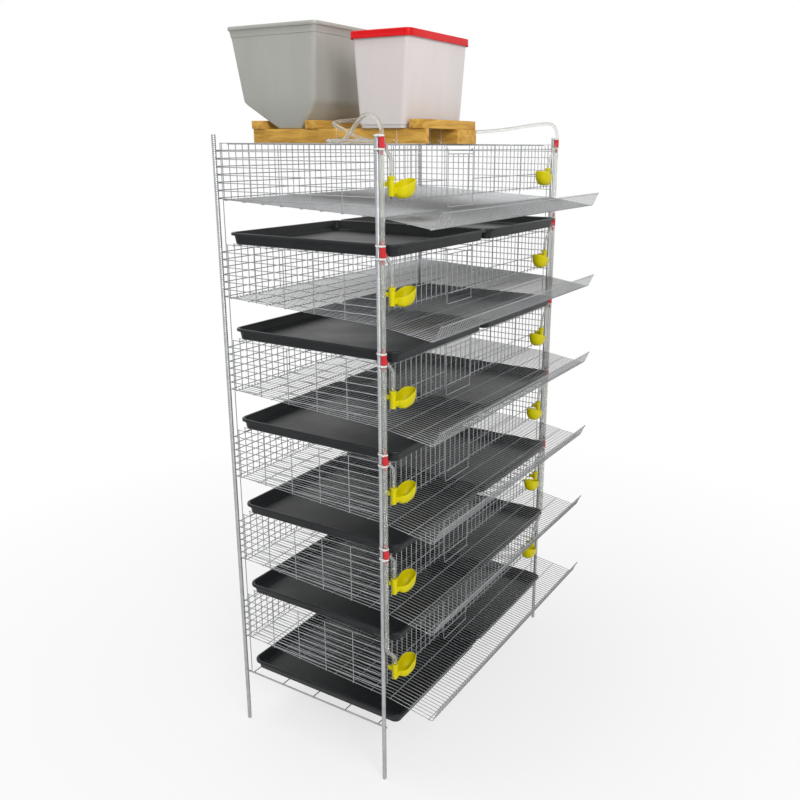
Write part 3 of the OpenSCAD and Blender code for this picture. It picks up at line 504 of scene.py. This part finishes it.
beams = [board("beam", (x0, 0, BASE_Z), (x1, BASE_LENGTH, BASE_Z + BEAM_HEIGHT))
         for x0, x1 in (NARROW_BEAM, WIDE_BEAM)]
piece("pine_beams", join("pine_beams", beams), PINE_BEAM, "frame", ["base_beams"], 30)
slats = [board("slat", (BASE_X - SLAT_OVERHANG, y, SLAT_Z),
               (BASE_X + BASE_WIDTH, y + SLAT_WIDTH, SLAT_Z + SLAT_THICK)) for y in SLAT_Y]
piece("pine_slats", join("pine_slats", slats), PINE_SLAT, "frame", ["base_slats"], 30)

# Bins


def bin_mesh(name, sections, wall=2.5):
    """A thin-walled bin: outer rings from the foot to the rim, then back down inside."""
    outer = [ring(BIN_X, y, BIN_Z + z, w, d, c, 9) for z, y, w, d, c in sections]
    inner = []
    for z, y, w, d, c in reversed(sections):
        if z <= wall + 4:
            continue
        inner.append(ring(BIN_X, y, BIN_Z + z, w - 2 * wall, d - 2 * wall, max(c - wall, 3.0), 9))
    z, y, w, d, c = sections[2]
    inner.append(ring(BIN_X, y, BIN_Z + wall + 3, w - 2 * wall, d - 2 * wall, max(c - wall, 3.0), 9))
    inner.append(ring(BIN_X, y, BIN_Z + wall, w - 2 * wall - 8, d - 2 * wall - 8,
                      max(c - wall - 4, 3.0), 9))
    return loft(name, outer + inner)


def between(a, b, t):
    """Values a share t of the way from a to b."""
    return tuple(p + (q - p) * t for p, q in zip(a, b))


def grown(section, out, z=None):
    """A section made wider by out on every side, and moved to another height."""
    low, y, w, d, c = section
    return (low if z is None else z, y, w + 2 * out, d + 2 * out, c + out)


# Step outwards and height against the top, from under a bin's rim over to its inner edge
FEED_RIM = (
    (0.9, -10.4), (1.2, -10.0), (4.4, -9.6), (5.0, -8.6), (5.0, -1.4), (4.3, -0.2), (3.0, 0.0), (0.4, 0.0),
)
WATER_RIM = ((-0.4, -10.4), (2.0, -9.6), (2.5, -8.6), (2.5, -1.2), (1.8, 0.0), (0.2, 0.0))
FOOT_RECESS = 9.0


def rim_sections(top, steps):
    """The sections of a rim round a bin's top."""
    return [grown(top, out, top[0] + z) for out, z in steps]


def feed_sections():
    """Foot, hopper, upper walls with a small ledge, and the rim."""
    knee_low, knee_high = between(FEED_KNEE, FEED_FOOT, 0.1), between(FEED_KNEE, FEED_TOP, 0.05)
    ledge = between(FEED_KNEE, FEED_TOP, 0.86)
    return [grown(FEED_FOOT, -3.0, 0.0), grown(FEED_FOOT, -0.8, 0.8), grown(FEED_FOOT, 0.4, 3.0),
            knee_low, grown(FEED_KNEE, -0.7, (knee_low[0] + knee_high[0]) / 2), knee_high,
            between(FEED_KNEE, FEED_TOP, 0.45), grown(ledge, 0.0, ledge[0] - 0.6),
            grown(ledge, 1.6, ledge[0] + 0.6)] + rim_sections(FEED_TOP, FEED_RIM)


def water_sections():
    """Recessed foot, sloping walls and the rim under the lid."""
    at_recess = between(WATER_FOOT, WATER_TOP, FOOT_RECESS / WATER_TOP[0])
    walls = [between(WATER_FOOT, WATER_TOP, share) for share in (0.3, 0.6, 0.9)]
    return [grown(WATER_FOOT, -5.0, 0.0), grown(WATER_FOOT, -3.0, 0.6), grown(WATER_FOOT, -2.6, 2.0),
            grown(at_recess, -2.6, FOOT_RECESS - 1.2), grown(at_recess, -0.4, FOOT_RECESS),
            *walls] + rim_sections(WATER_TOP, WATER_RIM)


piece("grey_feed_bin", bin_mesh("grey_feed_bin", feed_sections()), BIN_GREY, "frame",
      ["feed_bin"], 42)
piece("white_water_bin", bin_mesh("white_water_bin", water_sections()), BIN_WHITE, "frame",
      ["water_bin"], 42)

# Lid
LID_HEIGHT = 19.0
LID_WALL = 2.5
LID_GAP = 0.1
LID_FOOT = WATER_TOP[0] + LID_GAP - LID_HEIGHT + LID_WALL
LID_OUTER = (305.2, 185.2, 19.6)
# Inset from the lid's outer face and height above its foot, from under the dish round the skirt to its top
LID_SECTION = (
    (22.0, 12.5), (12.6, 12.5), (12.0, 13.1), (12.0, 16.1), (11.6, 16.5), (5.0, 16.5), (2.6, 16.2),
    (2.5, 4.0), (2.0, 0.2), (0.4, 0.0), (-0.6, 0.6), (-0.6, 3.4), (0.2, 4.4), (0.0, 15.0), (0.6, 17.4),
    (2.2, 18.7), (4.0, 19.0), (11.0, 19.0), (13.0, 18.5), (14.3, 16.8), (15.4, 15.3), (22.0, 15.0),
)
lid_rings = [ring(BIN_X, WATER_TOP[1], BIN_Z + LID_FOOT + z, LID_OUTER[0] - 2 * i, LID_OUTER[1] - 2 * i,
                  max(LID_OUTER[2] - i, 3.0), 9) for i, z in LID_SECTION]
piece("red_bin_lid", loft("red_bin_lid", lid_rings), LID_RED, "water_bin_lid",
      ["water_bin_lid"], 42)

# Drinker cups
CUP_INSET = {-1: 37.5, 1: 62.5}
CUP_DROP = 72.0
BOWL_DEPTH = 52.0
BOWL_START = 10.5
BOWL_R = 22.0
BOWL_FORWARD = 6.95
BOWL_STRAIGHT = 24.0
BOWL_WALL = 2.4
LOW_RIM = 26.0
HIGH_RIM = 46.0
FOOT_SHIFT = 6.0
# Share of the bowl's plan and of its rim height, from the foot to the rim
BOWL_SECTION = (
    (0.05, 0.0), (0.30, 0.012), (0.50, 0.05), (0.66, 0.12), (0.79, 0.22), (0.89, 0.36),
    (0.95, 0.52), (0.985, 0.70), (1.0, 0.88), (1.0, 0.98),
)


def cup_x(side):
    """Distance of a cup's inlet from the middle of the cage."""
    return CAGE_LENGTH / 2 - CUP_INSET[side]


def bowl_ring(side, level, share, height, inset=0.0, lift=0.0):
    """One ring of the scoop: a long oval whose height follows the climbing rim."""
    points = []
    length = 2 * BOWL_R + BOWL_STRAIGHT
    for i in range(40):
        a = math.radians(-90 + 9 * i)
        end = 1 if math.cos(a) >= 0 else -1
        full = BOWL_START + length / 2 + end * BOWL_STRAIGHT / 2 + BOWL_R * math.cos(a)
        rim = LOW_RIM + (HIGH_RIM - LOW_RIM) * (full - BOWL_START) / length
        r = max(BOWL_R * share - inset, 0.4)
        u = (BOWL_START + length / 2 - FOOT_SHIFT * (1 - share) + end * share * BOWL_STRAIGHT / 2
             + r * math.cos(a))
        w = height * rim + lift
        points.append((side * (cup_x(side) - u), RISER_Y - BOWL_FORWARD + r * math.sin(a),
                       level - BOWL_DEPTH + w))
    return points


def bowl_mesh(side, level):
    """A smooth scoop with a wall, a rounded rim and a foot set towards the valve."""
    rings = [bowl_ring(side, level, s, h) for s, h in BOWL_SECTION]
    rings.append(bowl_ring(side, level, 1.0, 1.0, 0.6, 0.3))
    rings.append(bowl_ring(side, level, 1.0, 1.0, BOWL_WALL - 0.6, 0.3))
    for s, h in reversed(BOWL_SECTION):
        rings.append(bowl_ring(side, level, s, h, BOWL_WALL, BOWL_WALL * (1 - h)))
    return loft("bowl", rings)


def turned(x, y, z, profile, around=24, sides=0):
    """A turned shape from radii and heights, or one with flat sides."""
    rings = []
    for radius, height in profile:
        points = []
        for i in range(around):
            a = 2 * math.pi * i / around
            r = radius
            if sides:
                half = math.pi / sides
                r = radius * math.cos(half) / math.cos(a % (2 * half) - half)
            points.append((x + r * math.cos(a), y + r * math.sin(a), z + height))
        rings.append(points)
    return loft("turned", rings)


VALVE_BODY = (
    (2.4, -46.0), (5.9, -46.0), (7.1, -45.2), (7.5, -44.0), (7.5, -33.0), (6.9, -32.4), (6.9, -31.0),
    (7.5, -30.4), (7.5, -8.6), (7.1, -7.6), (7.1, -6.9),
)
VALVE_COLLAR = ((8.2, -7.0), (9.5, -6.2), (9.5, -0.8), (8.6, 0.0))
INLET_BARB = (
    (2.2, -0.2), (2.2, 1.6), (2.8, 1.8), (2.2, 3.2), (2.8, 3.4), (2.2, 5.0), (2.7, 5.2), (2.0, 7.0),
)


def cup_meshes(side, k):
    """The valve body with its collar and inlet barb, the neck, the hook and the scoop of one cup."""
    level = roof(k) - CUP_DROP
    x = side * cup_x(side)
    neck = sorted((side * (cup_x(side) - 2.0), side * (cup_x(side) - BOWL_START - 3.0)))
    neck_y = RISER_Y - BOWL_FORWARD / 2
    hook_z = roof(k) - 90.0
    return [
        bowl_mesh(side, level),
        turned(x, RISER_Y, level, VALVE_BODY),
        turned(x, RISER_Y, level, VALVE_COLLAR, sides=6),
        turned(x, RISER_Y, level, INLET_BARB),
        board("neck", (neck[0], neck_y - 6, level - 40), (neck[1], neck_y + 6, level - 26), 1.4),
        board("hook", (x - 2, RISER_Y + 3, hook_z - 6), (x + 2, 10.1, hook_z + 6), 0.7),
    ]


cups = [mesh for side in (-1, 1) for k in TIERS for mesh in cup_meshes(side, k)]
piece("yellow_drinker_cups", join("yellow_drinker_cups", cups), CUP_YELLOW, "frame",
      ["drinker_cups"], 38)

# Strings that hold the base down on the roof
STRING_D = 1.3


def thin_tube(name, points, diameter, around=6):
    """A thin round line through points, in millimetres."""
    bm = bmesh.new()
    places = [at(*p) for p in points]
    rows = []
    for i, place in enumerate(places):
        ahead = (places[min(i + 1, len(places) - 1)] - places[max(i - 1, 0)]).normalized()
        side = ahead.cross(Vector((0.31, 0.87, 0.38))).normalized()
        up = ahead.cross(side)
        rows.append([bm.verts.new(place + (side * math.cos(a) + up * math.sin(a)) * diameter * MM / 2)
                     for a in [2 * math.pi * j / around for j in range(around)]])
    for low, high in zip(rows, rows[1:]):
        for j in range(around):
            n = (j + 1) % around
            bm.faces.new((low[j], low[n], high[n], high[j]))
    bm.faces.new(list(reversed(rows[0])))
    bm.faces.new(rows[-1])
    mesh = bpy.data.meshes.new(name)
    bm.to_mesh(mesh)
    bm.free()
    return mesh


def beam_loop(x0, x1, y):
    """A string once round a beam and under the roof wires, with its short ends standing out."""
    low, high, out = roof(6) - 2.4, BASE_Z + BEAM_HEIGHT + 0.9, 0.9
    corners = [(x0 - 7, y - 3, low + 9), (x0 - out, y - 1, low + 3), (x0 - out, y, high),
               (x1 + out, y + 1, high), (x1 + out, y + 2, low), (x0 - out, y + 3, low),
               (x0 - out, y + 2, low + 7), (x0 - 8, y + 6, low + 14)]
    points = []
    for a, b in zip(corners, corners[1:]):
        points += [between(a, b, t / 4) for t in range(4)]
    return thin_tube("string", points + corners[-1:], STRING_D)


strings = [beam_loop(*NARROW_BEAM, y) for y in (85, 275)]
strings += [beam_loop(*WIDE_BEAM, y) for y in (50, 84)]
piece("base_tie_strings", join("base_tie_strings", strings), TIE_WHITE, "frame", (), 60)

# Stage and light


def add_stage():
    """A pale floor that fades into the white surroundings and keeps the object's shadow."""
    bm = bmesh.new()
    bmesh.ops.create_grid(bm, x_segments=1, y_segments=1, size=14.0)
    mesh = bpy.data.meshes.new("studio_floor")
    bm.to_mesh(mesh)
    bm.free()
    floor = bpy.data.objects.new("studio_floor", mesh)
    bpy.context.scene.collection.objects.link(floor)
    floor.location.z = -0.0005
    made = bpy.data.materials.new("floor_white")
    made.use_nodes = True
    tree = made.node_tree
    tree.nodes.clear()
    out = node(tree, "ShaderNodeOutputMaterial")
    matt = node(tree, "ShaderNodeBsdfDiffuse", {"Color": (0.85, 0.85, 0.85, 1)})
    glow = node(tree, "ShaderNodeEmission", {"Color": (1, 1, 1, 1), "Strength": 1.0})
    path = node(tree, "ShaderNodeLightPath")
    coord = node(tree, "ShaderNodeTexCoord")
    away = node(tree, "ShaderNodeVectorMath", operation="LENGTH")
    fade = node(tree, "ShaderNodeMapRange",
                {"From Min": 0.6, "From Max": 2.4, "To Min": 0.7, "To Max": 1.0})
    tree.links.new(coord.outputs["Object"], away.inputs[0])
    tree.links.new(away.outputs["Value"], fade.inputs["Value"])
    share = node(tree, "ShaderNodeMath", operation="MULTIPLY")
    tree.links.new(fade.outputs[0], share.inputs[1])
    mix = node(tree, "ShaderNodeMixShader")
    tree.links.new(path.outputs["Is Camera Ray"], share.inputs[0])
    tree.links.new(share.outputs[0], mix.inputs["Fac"])
    tree.links.new(matt.outputs[0], mix.inputs[1])
    tree.links.new(glow.outputs[0], mix.inputs[2])
    tree.links.new(mix.outputs[0], out.inputs["Surface"])
    mesh.materials.append(made)


def add_world():
    """White to the camera, reflections and see-through paths; a plain grey light elsewhere."""
    world = bpy.data.worlds.new("studio")
    bpy.context.scene.world = world
    world.use_nodes = True
    tree = world.node_tree
    back = tree.nodes["Background"]
    back.inputs["Color"].default_value = (1, 1, 1, 1)
    path = node(tree, "ShaderNodeLightPath")
    seen = node(tree, "ShaderNodeMath", operation="MAXIMUM")
    seen_too = node(tree, "ShaderNodeMath", operation="MAXIMUM")
    level = node(tree, "ShaderNodeMapRange", {"To Min": 0.55, "To Max": 1.0})
    tree.links.new(path.outputs["Is Camera Ray"], seen.inputs[0])
    tree.links.new(path.outputs["Is Transmission Ray"], seen.inputs[1])
    tree.links.new(seen.outputs[0], seen_too.inputs[0])
    tree.links.new(path.outputs["Is Glossy Ray"], seen_too.inputs[1])
    tree.links.new(seen_too.outputs[0], level.inputs["Value"])
    tree.links.new(level.outputs[0], back.inputs["Strength"])


def add_lamp(name, place, aim, size, power):
    """A round soft lamp that points at a place."""
    lamp = bpy.data.lights.new(name, "AREA")
    lamp.shape = "DISK"
    lamp.size = size
    lamp.energy = power
    obj = bpy.data.objects.new(name, lamp)
    bpy.context.scene.collection.objects.link(obj)
    obj.location = place
    obj.rotation_euler = (Vector(aim) - Vector(place)).to_track_quat("-Z", "Y").to_euler()


add_stage()
add_world()
add_lamp("key_lamp", (-2.6, -3.2, 3.4), (0, 0, 1.0), 1.8, 95)
add_lamp("fill_lamp", (2.8, -2.6, 2.6), (0, 0, 1.0), 2.4, 10)
add_lamp("top_lamp", (-0.6, 0.8, 4.2), (0, 0, 1.2), 2.0, 40)

scene = bpy.context.scene
scene.view_settings.view_transform = "Standard"
